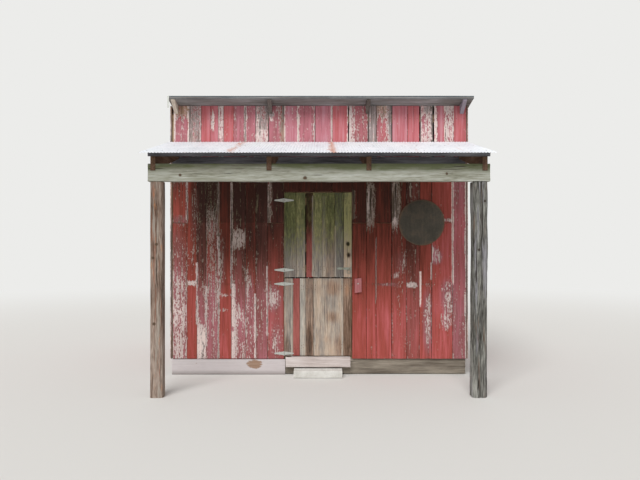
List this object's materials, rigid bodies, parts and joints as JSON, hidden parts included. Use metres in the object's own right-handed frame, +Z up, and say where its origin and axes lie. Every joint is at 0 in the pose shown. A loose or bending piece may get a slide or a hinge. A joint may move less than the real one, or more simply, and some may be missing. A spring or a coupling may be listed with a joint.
{
  "type": "wooden garden shed with porch",
  "caption": "Red weathered board shed with a mono-pitch roof, corrugated porch roof on a notched beam and posts, and a two-leaf stable door.",
  "frame": {"origin": "middle of the whole shed with its porch, at ground level", "axes": "+Z up; the door and the porch face -Y; +X to the right of someone who faces the door"},
  "size_m": [3.6398, 3.871, 3.3174],
  "materials": {
    "red_boards": "weathered red paint on rough boards, bare grey wood showing",
    "door_boards": "bare weathered boards with traces of red paint",
    "frame_wood": "sawn timber, aged indoors",
    "roof_timber": "weathered grey-brown sawn timber",
    "grey_timber": "silver-grey weathered hewn timber with cracks",
    "brown_timber": "reddish-brown weathered hewn timber",
    "base_timber": "dark damp timber",
    "skirt_wood": "pale grey-green worn paint",
    "button_wood": "pink-red worn paint",
    "roof_covering": "dark blue-grey, dull",
    "galvanised_sheet": "dull zinc with rust streaks",
    "galvanised_iron": "dull zinc, worn",
    "disc_iron": "dark rusted steel",
    "concrete": "off-white cast concrete"
  },
  "bodies": {
    "shed": {"front_sill": "base_timber", "rear_sill": "base_timber", "left_sill": "base_timber", "right_sill": "base_timber", "skirt_board": "skirt_wood", "floor_joists": "frame_wood", "floor": "frame_wood", "sole_plates": "frame_wood", "corner_posts": "frame_wood", "door_posts": "frame_wood", "door_header": "frame_wood", "front_top_plate": "frame_wood", "rear_top_plate": "frame_wood", "front_rails": "frame_wood", "side_rails": "frame_wood", "rear_rails": "frame_wood", "front_wall_left": "red_boards", "front_wall_right": "red_boards", "front_wall_top": "red_boards", "left_wall": "red_boards", "right_wall": "red_boards", "rear_wall": "red_boards", "roof_rafters": "roof_timber", "roof_boards": "roof_timber", "roof_covering": "roof_covering", "corner_flashing": "galvanised_sheet", "porch_ledger": "roof_timber", "porch_rafters": "roof_timber", "porch_beam": "grey_timber", "porch_post_left": "brown_timber", "porch_post_right": "grey_timber", "porch_purlins": "roof_timber", "porch_sheets": "galvanised_sheet", "door_plank": "grey_timber", "door_step": "concrete", "wall_hinge_straps": "galvanised_iron", "button_screw": "galvanised_iron", "wall_disc": "disc_iron", "disc_nail": "disc_iron"},
    "upper_leaf": {"upper_leaf_boards": "door_boards", "upper_leaf_ledges": "frame_wood", "upper_leaf_straps": "galvanised_iron", "hasp": "galvanised_iron"},
    "lower_leaf": {"lower_leaf_boards": "door_boards", "lower_leaf_ledges": "frame_wood", "lower_leaf_straps": "galvanised_iron"},
    "turn_button": {"turn_button": "button_wood"}
  },
  "joints": [
    {"name": "upper_leaf_hinge", "type": "hinge", "parent": "shed", "child": "upper_leaf", "pos_m": [-0.421, -0.6635, 1.683], "axis": [0, 0, -1], "range_deg": [0, 165]},
    {"name": "lower_leaf_hinge", "type": "hinge", "parent": "shed", "child": "lower_leaf", "pos_m": [-0.421, -0.6635, 0.674], "axis": [0, 0, -1], "range_deg": [0, 165]},
    {"name": "turn_button_screw", "type": "hinge", "parent": "shed", "child": "turn_button", "pos_m": [0.47, -0.6728, 1.099], "axis": [0, 1, 0], "range_deg": [0, 170]}
  ]
}
